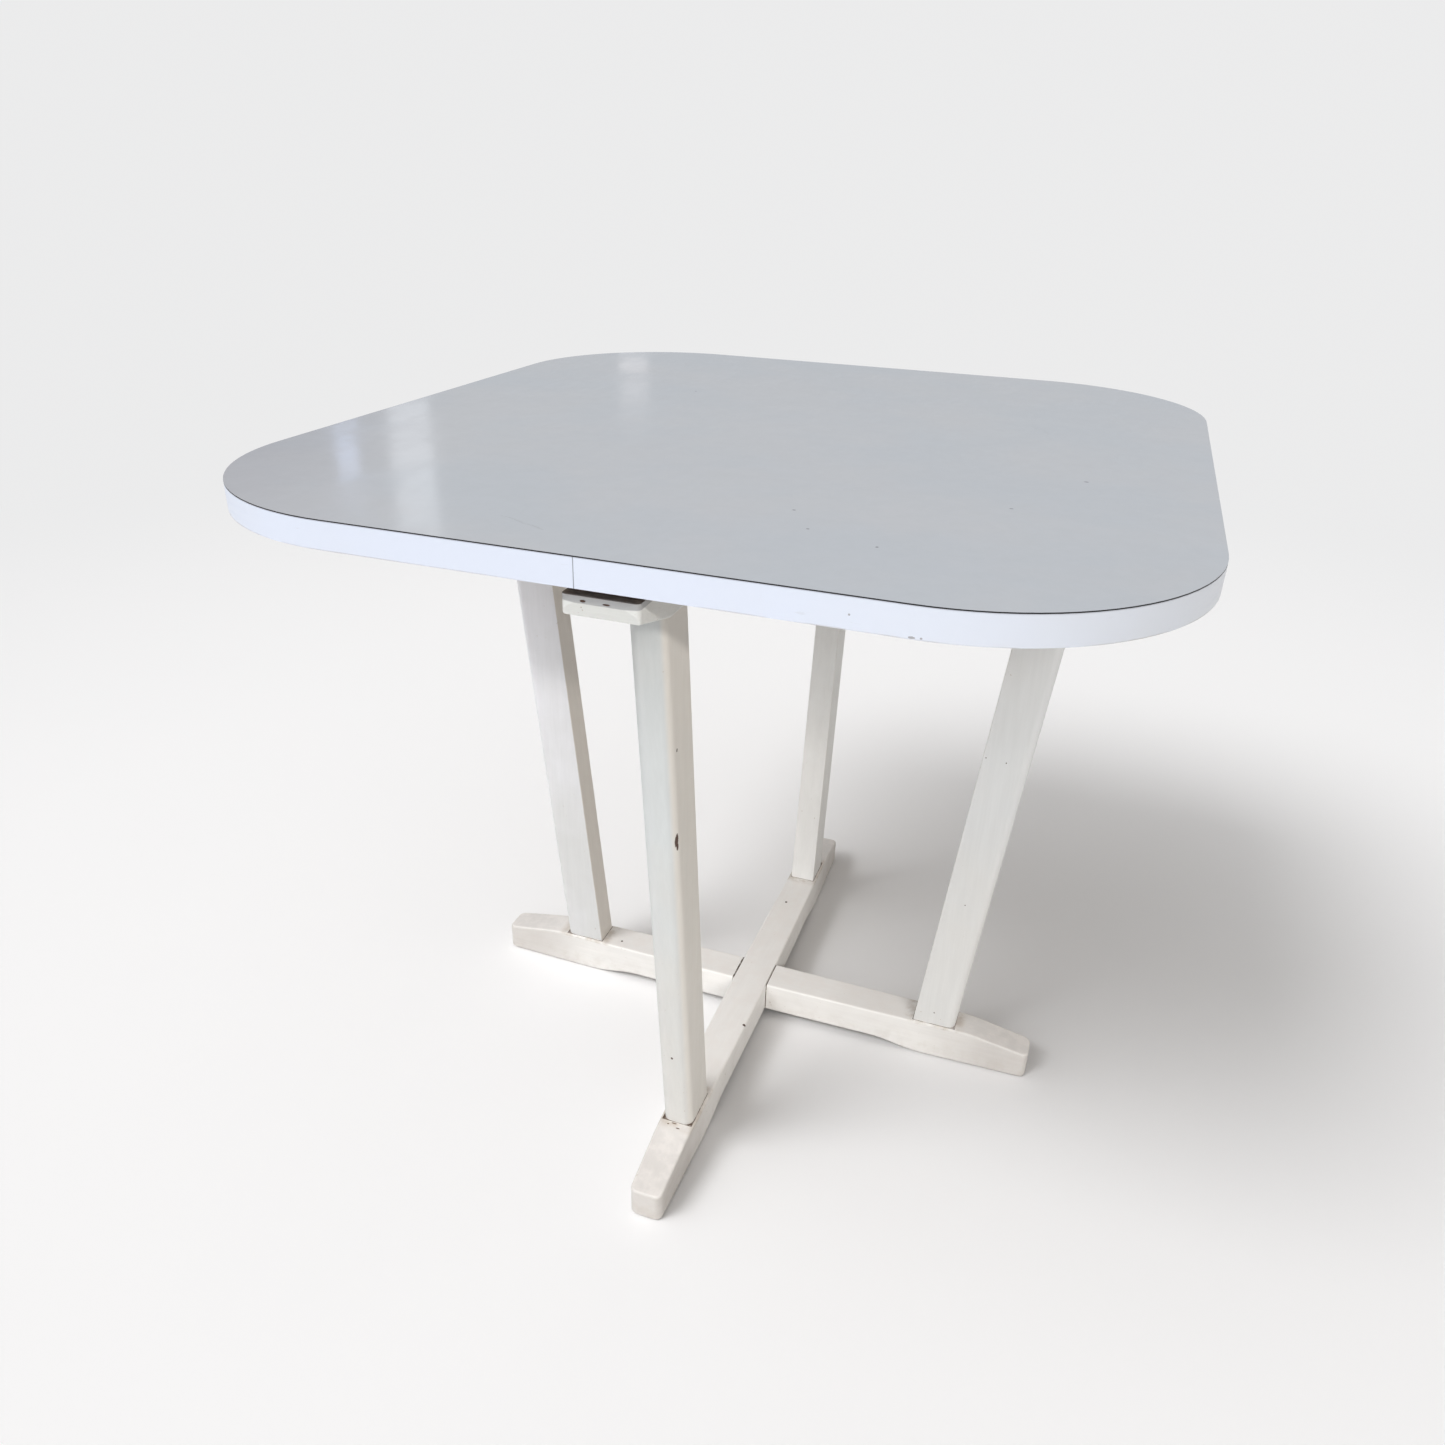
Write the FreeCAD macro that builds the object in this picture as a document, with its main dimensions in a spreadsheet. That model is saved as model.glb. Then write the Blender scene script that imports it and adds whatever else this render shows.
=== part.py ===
import FreeCAD, Part
import math
import os
import re
import Sketcher

# Small square cafe table: a laminate top with round corners, two half-lapped bearers under it,
# four splayed legs and two half-lapped foot rails shaped from the solid.
# Millimetres, +Z up, origin on the floor under the middle. Front is -Y.

sizes = {
    # whole table
    "table_height": 720.0,
    "top_width": 805.0,
    "top_depth": 860.0,
    "top_corner": 187.0,
    # layers of the top
    "laminate_thick": 1.0,
    "core_thick": 21.6,
    "backing_thick": 0.7,
    "band_thick": 1.0,
    "band_seam": -13.0,
    # packing strips between the bearers and the top
    "packer_thick": 9.7,
    "packer_wide": 54.0,
    "packer_start": 70.0,
    "packer_setback": 12.0,
    # upper bearers
    "bearer_wide": 60.0,
    "bearer_deep": 30.0,
    "bearer_tip_deep": 16.0,
    "bearer_setback": 10.0,
    "bearer_taper": 60.0,
    "bearer_undercut": 5.0,
    "bearer_lip_deep": 4.0,
    "bearer_lip_back": 2.0,
    "bearer_nose_long": 3.0,
    "bearer_nose_wide": 12.0,
    "bearer_nose_round": 4.0,
    "bearer_arris": 2.0,
    # legs
    "leg_thick": 32.0,
    "leg_deep": 49.0,
    "foot_setback": 112.0,
    "head_setback": 103.0,
    "leg_outer_round": 9.0,
    "leg_inner_round": 1.2,
    "tenon_thick": 12.0,
    "tenon_wide": 34.0,
    "foot_tenon_long": 24.0,
    "head_tenon_long": 18.0,
    "mortise_extra": 1.0,
    # foot rails
    "side_rail_long": 682.0,
    "front_rail_long": 706.0,
    "rail_deep": 46.0,
    "rail_wide": 43.0,
    "rail_straight": 32.0,
    "rail_leg_wide": 39.0,
    "rail_tip_wide": 34.0,
    "rail_tip_deep": 33.0,
    "rail_slope_long": 73.0,
    "rail_slope_round": 160.0,
    "rail_end_round": 8.0,
    "rail_top_round": 2.5,
    "rail_sole_round": 3.0,
    "arch_rise": 8.0,
    "arch_run": 38.0,
    "arch_round": 150.0,
    "sole_inset": 25.0,
    # screws
    "screw_head": 8.4,
    "screw_head_deep": 3.2,
    "screw_shank": 4.5,
    "screw_play": 0.4,
    "screw_point": 4.0,
    "slot_wide": 1.2,
    "slot_deep": 1.4,
    "sink_wide": 11.0,
    "foot_screw_long": 45.0,
    "foot_sink_deep": 10.0,
    "head_screw_long": 50.0,
    "lap_screw_long": 26.0,
    "top_screw_long": 45.0,
    "top_sink_deep": 8.0,
    "inner_top_screw": 150.0,
    "outer_screw_setback": 62.0,
}

cut_margin = 20.0
first_radius = 5.0  # a new circle's radius, until its constraint sets it

doc = FreeCAD.newDocument("cafe_table")
sheet = doc.addObject("Spreadsheet::Sheet", "sizes")
for row, (alias, number) in enumerate(sizes.items(), start=1):
    sheet.set(f"A{row}", alias.replace("_", " "))
    sheet.set(f"B{row}", str(number))
    sheet.setAlias(f"B{row}", alias)
doc.recompute()

# heights and reaches that the pieces share, written from the cells
top_under = "(table_height - laminate_thick - core_thick - backing_thick)"
bearer_top = f"({top_under} - packer_thick)"
bearer_under = f"({bearer_top} - bearer_deep)"
bearer_lap = f"({bearer_under} + bearer_deep / 2)"
rail_lap = "((rail_deep + arch_rise) / 2)"
side_bearer_reach = "(top_width / 2 - bearer_setback)"
front_bearer_reach = "(top_depth / 2 - bearer_setback)"
side_head_reach = f"({side_bearer_reach} - head_setback)"
front_head_reach = f"({front_bearer_reach} - head_setback)"
side_foot_reach = "(side_rail_long / 2 - foot_setback)"
front_foot_reach = "(front_rail_long / 2 - foot_setback)"
side_outer_screw = f"({side_bearer_reach} - outer_screw_setback)"
front_outer_screw = f"({front_bearer_reach} - outer_screw_setback)"

quarter_turns = {"right": 0, "back": 1, "left": 2, "front": 3}
up = FreeCAD.Vector(0, 0, 1)


def bound(text):
    """Point every cell name in an expression at the sheet."""
    return re.sub(r"[a-z]+(?:_[a-z]+)+", r"sizes.\g<0>", text)


def turned(quarters):
    return FreeCAD.Placement(FreeCAD.Vector(0, 0, 0), FreeCAD.Rotation(up, 90 * quarters))


def new_body(label, quarters=0):
    body = doc.addObject("PartDesign::Body", label)
    body.Label = label
    body.Placement = turned(quarters)
    return body


def sketch_on(body, name, role, lift="0"):
    """A sketch on one of the body's own origin planes, lifted along the plane's normal."""
    sketch = body.newObject("Sketcher::SketchObject", name)
    plane = next(item for item in body.Origin.OriginFeatures if item.Role == role)
    sketch.AttachmentSupport = [(plane, "")]
    sketch.MapMode = "FlatFace"
    sketch.setExpression("AttachmentOffset.Base.z", bound(lift))
    return sketch


def pin_point(sketch, line, end, across, upward):
    """Fix one point of a line or circle by its two distances from the sketch's origin."""
    point = sketch.getPoint(line, end)
    for kind, now, text in (("DistanceX", point.x, across), ("DistanceY", point.y, upward)):
        number = sketch.addConstraint(Sketcher.Constraint(kind, -1, 1, line, end, now))
        sketch.setExpression(f"Constraints[{number}]", bound(text))


def outline(sketch, corners):
    """A closed outline of straight lines through corners given as pairs of expressions."""
    first = sketch.GeometryCount
    count = len(corners)
    ring = [
        FreeCAD.Vector(math.cos(math.tau * i / count), math.sin(math.tau * i / count), 0)
        for i in range(count)
    ]
    for i in range(count):
        sketch.addGeometry(Part.LineSegment(ring[i], ring[(i + 1) % count]))
    for i in range(count):
        following = first + (i + 1) % count
        sketch.addConstraint(Sketcher.Constraint("Coincident", first + i, 2, following, 1))
    for i, (across, upward) in enumerate(corners):
        pin_point(sketch, first + i, 1, across, upward)


def rectangle(sketch, left, right, bottom, top):
    outline(sketch, [(left, bottom), (right, bottom), (right, top), (left, top)])


def circle(sketch, across, upward, radius):
    number = sketch.addGeometry(Part.Circle(FreeCAD.Vector(0, 0, 0), up, first_radius))
    size = sketch.addConstraint(Sketcher.Constraint("Radius", number, first_radius))
    sketch.setExpression(f"Constraints[{size}]", bound(radius))
    pin_point(sketch, number, 3, across, upward)


def pad(body, name, sketch, length, both_ways=False):
    feature = body.newObject("PartDesign::Pad", name)
    feature.Profile = sketch
    feature.Midplane = both_ways
    feature.setExpression("Length", bound(length))
    sketch.Visibility = False
    return feature


def pocket(body, name, sketch, length, reverse=False, both_ways=False):
    """Cut a pocket and make sure that it took wood away."""
    doc.recompute()
    before = body.Shape.Volume
    feature = body.newObject("PartDesign::Pocket", name)
    feature.Profile = sketch
    feature.Midplane = both_ways
    feature.Reversed = reverse
    feature.setExpression("Length", bound(length))
    doc.recompute()
    if body.Shape.Volume >= before:
        raise RuntimeError(f"{body.Label}: {name} cuts nothing")
    return feature


def facing(face):
    """The outward direction at the middle of a face."""
    low_u, high_u, low_v, high_v = face.ParameterRange
    return face.normalAt((low_u + high_u) / 2, (low_v + high_v) / 2)


def fillet(body, name, radius, wanted):
    """Round the edges that the test picks out by their own run and their two faces."""
    doc.recompute()
    base = body.Tip
    names = []
    for number, edge in enumerate(base.Shape.Edges, start=1):
        faces = [facing(face) for face in base.Shape.ancestorsOfType(edge, Part.Face)]
        run = edge.Vertexes[-1].Point - edge.Vertexes[0].Point
        if len(faces) == 2 and wanted(run, faces, edge.CenterOfMass):
            names.append(f"Edge{number}")
    if not names:
        raise RuntimeError(f"{body.Label}: {name} finds no edge")
    feature = body.newObject("PartDesign::Fillet", name)
    feature.Base = (base, names)
    feature.setExpression("Radius", bound(radius))
    return feature


def upright(run, faces, middle):
    """A corner between two upright faces."""
    return abs(run.z) > 1 and all(abs(face.z) < 0.3 for face in faces)


def sharp(run, faces, middle):
    """Two faces that meet at a real corner, not where a round runs into a flat."""
    return abs(faces[0].dot(faces[1])) < 0.5


def crest(run, faces, middle):
    """The edge of a top face above an upright one."""
    return max(face.z for face in faces) > 0.8 and min(abs(face.z) for face in faces) < 0.2


def sole(run, faces, middle):
    """The edge of an underside below an upright face."""
    return min(face.z for face in faces) < -0.8 and min(abs(face.z) for face in faces) < 0.2


# ---- screws: a slotted countersunk profile turned about its own upright axis ----


def screw_profile(body, name, role, reach, head_level, way, length, play="0"):
    """Half section of a screw, reach out along the plane. way is the sign its point lies to."""
    sketch = sketch_on(body, name, role)
    head = f"{reach} + screw_head / 2 + {play}"
    shank = f"{reach} + screw_shank / 2 + {play}"
    corners = [
        (reach, head_level),
        (head, head_level),
        (shank, f"{head_level} {way} screw_head_deep"),
        (shank, f"{head_level} {way} ({length} - screw_point)"),
        (reach, f"{head_level} {way} {length}"),
    ]
    outline(sketch, corners)
    return sketch


def turn_profile(body, kind, name, sketch):
    """Turn a screw profile about its last line, which lies on the screw's axis."""
    feature = body.newObject(kind, name)
    feature.Profile = sketch
    feature.ReferenceAxis = (sketch, ["Edge5"])
    feature.Angle = 360
    sketch.Visibility = False
    return feature


def add_screw(body, role, reach, head_level, way, length):
    """One screw with its driver slot. Returns the features a pattern repeats."""
    profile = screw_profile(body, "screw_profile", role, reach, head_level, way, length)
    solid = turn_profile(body, "PartDesign::Revolution", "screw", profile)
    slot = sketch_on(body, "slot_outline", "XY_Plane", head_level)
    long_way = (f"{reach} - screw_head", f"{reach} + screw_head")
    short_way = ("-slot_wide / 2", "slot_wide / 2")
    if role == "XZ_Plane":
        rectangle(slot, *long_way, *short_way)
    else:
        rectangle(slot, *short_way, *long_way)
    return [solid, pocket(body, "slot", slot, "slot_deep", reverse=way == "+")]


def repeat_round(body, features, count):
    """Repeat features evenly round the table's upright axis."""
    pattern = body.newObject("PartDesign::PolarPattern", "round_the_middle")
    pattern.Originals = features
    axis = next(item for item in body.Origin.OriginFeatures if item.Role == "Z_Axis")
    pattern.Axis = (axis, [""])
    pattern.Angle = 360
    pattern.Occurrences = count
    body.Tip = pattern
    return pattern


def screw_hole(body, reach, head_level, way, length):
    """The countersunk clearance hole that a screw's head seats in, on the body's long axis."""
    profile = screw_profile(
        body, "hole_profile", "XZ_Plane", reach, head_level, way, length, "screw_play"
    )
    doc.recompute()
    before = body.Shape.Volume
    turn_profile(body, "PartDesign::Groove", "screw_hole", profile)
    doc.recompute()
    if body.Shape.Volume >= before:
        raise RuntimeError(f"{body.Label}: a screw hole cuts nothing")


def bores(body, name, level, centres, radius, length, upward):
    """Plain round holes from one level, up or down."""
    sketch = sketch_on(body, name + "_outline", "XY_Plane", level)
    for across, along in centres:
        circle(sketch, across, along, radius)
    return pocket(body, name, sketch, length, reverse=upward)


# ---- the top ----


def round_rectangle(sketch, inset):
    """The top's plan, drawn in by a named inset: four sides joined by tangent quarter arcs."""
    inset_now = sizes.get(inset, 0.0)
    wide = sizes["top_width"] / 2 - inset_now
    deep = sizes["top_depth"] / 2 - inset_now
    corner = sizes["top_corner"] - inset_now
    short, tall = wide - corner, deep - corner
    sides = [
        ((-short, -deep), (short, -deep), (short, -tall)),
        ((wide, -tall), (wide, tall), (short, tall)),
        ((short, deep), (-short, deep), (-short, tall)),
        ((-wide, tall), (-wide, -tall), (-short, -tall)),
    ]
    for turn, (start, end, centre) in enumerate(sides):
        sketch.addGeometry(Part.LineSegment(FreeCAD.Vector(*start, 0), FreeCAD.Vector(*end, 0)))
        round_corner = Part.Circle(FreeCAD.Vector(*centre, 0), up, corner)
        begin = math.radians(90 * turn - 90)
        sketch.addGeometry(Part.ArcOfCircle(round_corner, begin, begin + math.radians(90)))
    for i in range(8):
        sketch.addConstraint(Sketcher.Constraint("Tangent", i, 2, (i + 1) % 8, 1))
    half_width = f"(top_width / 2 - {inset})"
    half_depth = f"(top_depth / 2 - {inset})"
    for line, lie, kind, now, place in (
        (0, "Horizontal", "DistanceY", -deep, "-" + half_depth),
        (2, "Vertical", "DistanceX", wide, half_width),
        (4, "Horizontal", "DistanceY", deep, half_depth),
        (6, "Vertical", "DistanceX", -wide, "-" + half_width),
    ):
        sketch.addConstraint(Sketcher.Constraint(lie, line))
        number = sketch.addConstraint(Sketcher.Constraint(kind, -1, 1, line, 1, now))
        sketch.setExpression(f"Constraints[{number}]", bound(place))
    for arc in (3, 5, 7):
        sketch.addConstraint(Sketcher.Constraint("Equal", 1, arc))
    number = sketch.addConstraint(Sketcher.Constraint("Radius", 1, corner))
    sketch.setExpression(f"Constraints[{number}]", bound(f"top_corner - {inset}"))


def top_sheet(label, inset, level, thick):
    body = new_body(label)
    plan = sketch_on(body, "plan", "XY_Plane", level)
    round_rectangle(plan, inset)
    pad(body, "sheet", plan, thick)
    return body


def edge_band(label, waste_left, waste_right):
    """Half of the band round the edge, butted on the front and back at the seam."""
    body = new_body(label)
    tall = "core_thick + backing_thick"
    outside = sketch_on(body, "outside", "XY_Plane", top_under)
    round_rectangle(outside, "0")
    pad(body, "blank", outside, tall)
    inside = sketch_on(body, "inside", "XY_Plane", top_under)
    round_rectangle(inside, "band_thick")
    pocket(body, "hollow", inside, tall, reverse=True)
    waste = sketch_on(body, "other_half", "XY_Plane", top_under)
    rectangle(waste, waste_left, waste_right, "-top_depth", "top_depth")
    pocket(body, "cut_to_seam", waste, tall, reverse=True)
    return body


top_screw_level = f"({bearer_under} + top_sink_deep)"
top_screw_tip = f"({top_screw_level} + top_screw_long)"
side_screws = ["inner_top_screw", side_outer_screw]
front_screws = ["inner_top_screw", front_outer_screw]
top_screw_points = [
    point
    for sign in ("", "-")
    for point in (
        *((f"{sign}{reach}", "0") for reach in side_screws),
        *(("0", f"{sign}{reach}") for reach in front_screws),
    )
]

top_sheet("top_laminate", "0", "table_height - laminate_thick", "laminate_thick")
core = top_sheet("top_core", "band_thick", f"{top_under} + backing_thick", "core_thick")
backing = top_sheet("backing_laminate", "band_thick", top_under, "backing_thick")
bores(
    core, "pilots", f"{top_under} + backing_thick", top_screw_points,
    "screw_shank / 2", f"{top_screw_tip} - {top_under} - backing_thick", True,
)
bores(
    backing, "screw_holes", top_under, top_screw_points,
    "screw_shank / 2", "backing_thick", True,
)
edge_band("edge_band_left", "band_seam", "top_width")
edge_band("edge_band_right", "-top_width", "band_seam")


# ---- packing strips and upper bearers ----


def packer(side, bearer_reach, screw_reaches):
    body = new_body(f"packer_{side}", quarter_turns[side])
    plan = sketch_on(body, "plan", "XY_Plane", bearer_top)
    rectangle(
        plan, "packer_start", f"{bearer_reach} - packer_setback",
        "-packer_wide / 2", "packer_wide / 2",
    )
    pad(body, "strip", plan, "packer_thick")
    centres = [(reach, "0") for reach in screw_reaches]
    bores(
        body, "screw_holes", bearer_top, centres,
        "screw_shank / 2 + screw_play", "packer_thick", True,
    )
    return body


def bearer(label, quarters, reach, head_reach, screw_reaches, lap_from_below):
    """A board whose ends taper up from beneath to a shaped tip, half-lapped at the middle."""
    body = new_body(label, quarters)
    plan = sketch_on(body, "plan", "XY_Plane", bearer_under)
    nose = f"{reach} - bearer_nose_long"
    flat = "bearer_wide / 2 - bearer_nose_wide"
    outline(
        plan,
        [
            (f"-({nose})", "-bearer_wide / 2"),
            (nose, "-bearer_wide / 2"),
            (reach, f"-({flat})"),
            (reach, flat),
            (nose, "bearer_wide / 2"),
            (f"-({nose})", "bearer_wide / 2"),
            (f"-{reach}", flat),
            (f"-{reach}", f"-({flat})"),
        ],
    )
    pad(body, "board", plan, "bearer_deep")
    fillet(body, "nose_corners", "bearer_nose_round", upright)

    ends = sketch_on(body, "end_waste", "XZ_Plane")
    for side in ("", "-"):
        outline(
            ends,
            [
                (f"{side}({reach} - bearer_lip_back)", f"{bearer_top} + {cut_margin}"),
                (f"{side}({reach} - bearer_lip_back)", bearer_top),
                (f"{side}{reach}", f"{bearer_top} - bearer_lip_deep"),
                (f"{side}({reach} - bearer_undercut)", f"{bearer_top} - bearer_tip_deep"),
                (f"{side}({reach} - bearer_taper)", bearer_under),
                (f"{side}({reach} - bearer_taper)", f"{bearer_under} - {cut_margin}"),
                (f"{side}({reach} + {cut_margin})", f"{bearer_under} - {cut_margin}"),
                (f"{side}({reach} + {cut_margin})", f"{bearer_top} + {cut_margin}"),
            ],
        )
    pocket(body, "shape_ends", ends, f"bearer_wide + {cut_margin}", both_ways=True)
    fillet(body, "lower_arris", "bearer_arris", sole)

    half = "bearer_wide / 2"
    lap = sketch_on(body, "lap_outline", "XY_Plane", bearer_lap)
    rectangle(lap, f"-{half}", half, f"-{half} - {cut_margin}", f"{half} + {cut_margin}")
    pocket(body, "lap", lap, "bearer_deep", reverse=not lap_from_below)

    mortises = sketch_on(body, "mortise_outline", "XY_Plane", bearer_under)
    for side in ("", "-"):
        middle = f"{side}{head_reach}"
        rectangle(
            mortises, f"{middle} - tenon_wide / 2", f"{middle} + tenon_wide / 2",
            "-tenon_thick / 2", "tenon_thick / 2",
        )
    pocket(body, "mortises", mortises, "head_tenon_long + mortise_extra", reverse=True)

    centres = [(f"{side}{at}", "0") for side in ("", "-") for at in screw_reaches]
    bores(body, "sinks", bearer_under, centres, "sink_wide / 2", "top_sink_deep", True)
    for side in ("", "-"):
        for at in screw_reaches:
            screw_hole(body, f"{side}{at}", top_screw_level, "+", "top_screw_long")
        screw_hole(body, f"{side}{head_reach}", bearer_top, "-", "head_screw_long")
    if lap_from_below:
        screw_hole(body, "0", bearer_top, "-", "lap_screw_long")
    else:
        lap_rest = "lap_screw_long - bearer_deep / 2"
        bores(body, "lap_pilot", bearer_lap, [("0", "0")], "screw_shank / 2", lap_rest, False)
    return body


for side in ("front", "back"):
    packer(side, front_bearer_reach, front_screws)
for side in ("left", "right"):
    packer(side, side_bearer_reach, side_screws)
bearer("bearer_front_back", 1, front_bearer_reach, front_head_reach, front_screws, False)
bearer("bearer_side_side", 0, side_bearer_reach, side_head_reach, side_screws, True)


# ---- legs ----


def leg(side, foot_reach, head_reach):
    """A splayed leg with level shoulders and an upright tenon at each end. +X is outward."""
    body = new_body(f"leg_{side}", quarter_turns[side])
    lean = sketch_on(body, "side_view", "XZ_Plane")
    outline(
        lean,
        [
            (f"{foot_reach} - leg_deep / 2", "rail_deep"),
            (f"{foot_reach} + leg_deep / 2", "rail_deep"),
            (f"{head_reach} + leg_deep / 2", bearer_under),
            (f"{head_reach} - leg_deep / 2", bearer_under),
        ],
    )
    stick = pad(body, "stick", lean, "leg_thick", both_ways=True)
    doc.recompute()
    middle = stick.Shape.CenterOfMass

    def outer(run, faces, centre):
        return upright(run, faces, centre) and centre.x > middle.x

    def inner(run, faces, centre):
        return upright(run, faces, centre) and sharp(run, faces, centre) and centre.x < middle.x

    fillet(body, "outer_arrises", "leg_outer_round", outer)
    fillet(body, "inner_arrises", "leg_inner_round", inner)
    for name, reach, low, high in (
        ("foot_tenon", foot_reach, "rail_deep - foot_tenon_long", "rail_deep"),
        ("head_tenon", head_reach, bearer_under, f"{bearer_under} + head_tenon_long"),
    ):
        tenon = sketch_on(body, name + "_outline", "XZ_Plane")
        rectangle(tenon, f"{reach} - tenon_wide / 2", f"{reach} + tenon_wide / 2", low, high)
        pad(body, name, tenon, "tenon_thick", both_ways=True)
    foot_start = "(rail_deep - foot_tenon_long)"
    head_start = f"({bearer_under} + head_tenon_long)"
    bores(
        body, "foot_pilot", foot_start, [(foot_reach, "0")], "screw_shank / 2",
        f"foot_sink_deep + foot_screw_long - {foot_start}", True,
    )
    bores(
        body, "head_pilot", head_start, [(head_reach, "0")], "screw_shank / 2",
        f"head_screw_long - ({bearer_top} - {head_start})", False,
    )
    return body


for side in ("front", "back"):
    leg(side, front_foot_reach, front_head_reach)
for side in ("left", "right"):
    leg(side, side_foot_reach, side_head_reach)


# ---- foot rails ----


def foot_rail(label, quarters, rail_long, foot_reach, lap_from_below):
    """A rail cut from the solid: swelled plan, arched sole, sloping toes, half-lapped."""
    body = new_body(label, quarters)
    plan = sketch_on(body, "plan", "XY_Plane")
    rail_end = f"({rail_long} / 2)"
    quarter = [
        (rail_end, "rail_tip_wide / 2"),
        (foot_reach, "rail_leg_wide / 2"),
        ("rail_straight", "rail_wide / 2"),
    ]
    corners = [(f"-{x}", f"-{y}") for x, y in quarter]
    corners += [(x, f"-{y}") for x, y in reversed(quarter)]
    corners += quarter
    corners += [(f"-{x}", y) for x, y in reversed(quarter)]
    outline(plan, corners)
    pad(body, "blank", plan, "rail_deep")

    arch = sketch_on(body, "arch_waste", "XZ_Plane")
    sole_start = f"({foot_reach} - sole_inset)"
    crown = f"({sole_start} - arch_run)"
    outline(
        arch,
        [
            (f"-{sole_start}", f"-{cut_margin}"),
            (sole_start, f"-{cut_margin}"),
            (sole_start, "0"),
            (crown, "arch_rise"),
            (f"-{crown}", "arch_rise"),
            (f"-{sole_start}", "0"),
        ],
    )
    pocket(body, "arch", arch, "rail_wide * 2", both_ways=True)

    toes = sketch_on(body, "toe_waste", "XZ_Plane")
    for side in ("", "-"):
        outline(
            toes,
            [
                (f"{side}({rail_end} - rail_slope_long)", "rail_deep"),
                (f"{side}{rail_end}", "rail_tip_deep"),
                (f"{side}({rail_end} + {cut_margin})", "rail_tip_deep"),
                (f"{side}({rail_end} + {cut_margin})", f"rail_deep + {cut_margin}"),
                (f"{side}({rail_end} - rail_slope_long)", f"rail_deep + {cut_margin}"),
            ],
        )
    pocket(body, "toes", toes, "rail_wide * 2", both_ways=True)

    def across_sole(run, faces, middle):
        return all(face.z < -0.8 for face in faces)

    def across_top(run, faces, middle):
        return all(face.z > 0.8 for face in faces)

    fillet(body, "arch_curves", "arch_round", across_sole)
    fillet(body, "toe_curves", "rail_slope_round", across_top)
    fillet(body, "toe_corners", "rail_end_round", lambda *edge: upright(*edge) and sharp(*edge))
    fillet(body, "top_arris", "rail_top_round", crest)
    fillet(body, "sole_arris", "rail_sole_round", sole)

    half = "rail_wide / 2"
    lap = sketch_on(body, "lap_outline", "XY_Plane", rail_lap)
    rectangle(lap, f"-{half}", half, f"-{half} - {cut_margin}", f"{half} + {cut_margin}")
    pocket(body, "lap", lap, "rail_deep", reverse=not lap_from_below)

    mortises = sketch_on(body, "mortise_outline", "XY_Plane", "rail_deep")
    for side in ("", "-"):
        middle = f"{side}{foot_reach}"
        rectangle(
            mortises, f"{middle} - tenon_wide / 2", f"{middle} + tenon_wide / 2",
            "-tenon_thick / 2", "tenon_thick / 2",
        )
    pocket(body, "mortises", mortises, "foot_tenon_long + mortise_extra")

    centres = [(f"{side}{foot_reach}", "0") for side in ("", "-")]
    bores(body, "sinks", "0", centres, "sink_wide / 2", "foot_sink_deep", True)
    for reach, along in centres:
        screw_hole(body, reach, "foot_sink_deep", "+", "foot_screw_long")
    if lap_from_below:
        lap_rest = f"arch_rise + lap_screw_long - {rail_lap}"
        bores(body, "lap_pilot", rail_lap, [("0", "0")], "screw_shank / 2", lap_rest, True)
    else:
        screw_hole(body, "0", "arch_rise", "+", "lap_screw_long")
    return body


foot_rail("foot_rail_front_back", 1, "front_rail_long", front_foot_reach, True)
foot_rail("foot_rail_side_side", 0, "side_rail_long", side_foot_reach, False)


# ---- screws, each group of like ones in one body ----


def screw_group(label):
    body = new_body(label)
    body.AllowCompound = True
    return body


group = screw_group("foot_screws")
for role, reach in (("XZ_Plane", side_foot_reach), ("YZ_Plane", front_foot_reach)):
    screw = add_screw(group, role, reach, "foot_sink_deep", "+", "foot_screw_long")
    repeat_round(group, screw, 2)

group = screw_group("head_screws")
for role, reach in (("XZ_Plane", side_head_reach), ("YZ_Plane", front_head_reach)):
    screw = add_screw(group, role, reach, bearer_top, "-", "head_screw_long")
    repeat_round(group, screw, 2)

group = screw_group("top_screws")
for role, reaches in (("XZ_Plane", side_screws), ("YZ_Plane", front_screws)):
    screws = []
    for reach in reaches:
        screws += add_screw(group, role, reach, top_screw_level, "+", "top_screw_long")
    repeat_round(group, screws, 2)

add_screw(screw_group("foot_lap_screw"), "XZ_Plane", "0", "arch_rise", "+", "lap_screw_long")
add_screw(screw_group("bearer_lap_screw"), "XZ_Plane", "0", bearer_top, "-", "lap_screw_long")


# ---- check and write ----

doc.recompute()
for item in doc.Objects:
    if {"Invalid", "Error"} & set(item.State):
        raise RuntimeError(f"{item.Label} is {item.State}")
bodies = [item for item in doc.Objects if item.TypeId == "PartDesign::Body"]
for body in bodies:
    if body.Shape.isNull() or not body.Shape.isValid():
        raise RuntimeError(f"{body.Label} has no valid shape")

os.makedirs("parts", exist_ok=True)
for body in bodies:
    body.Shape.exportStep(f"parts/{body.Label}.step")
    box = body.Shape.BoundBox
    print(
        f"{body.Label:22s} {len(body.Shape.Solids)} solid(s) {body.Shape.Volume / 1000:9.2f} cm3"
        f"  {box.XLength:6.1f} x {box.YLength:6.1f} x {box.ZLength:6.1f} mm, from z {box.ZMin:.1f}"
    )
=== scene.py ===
import math

import bpy
from mathutils import Matrix, Vector


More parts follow.
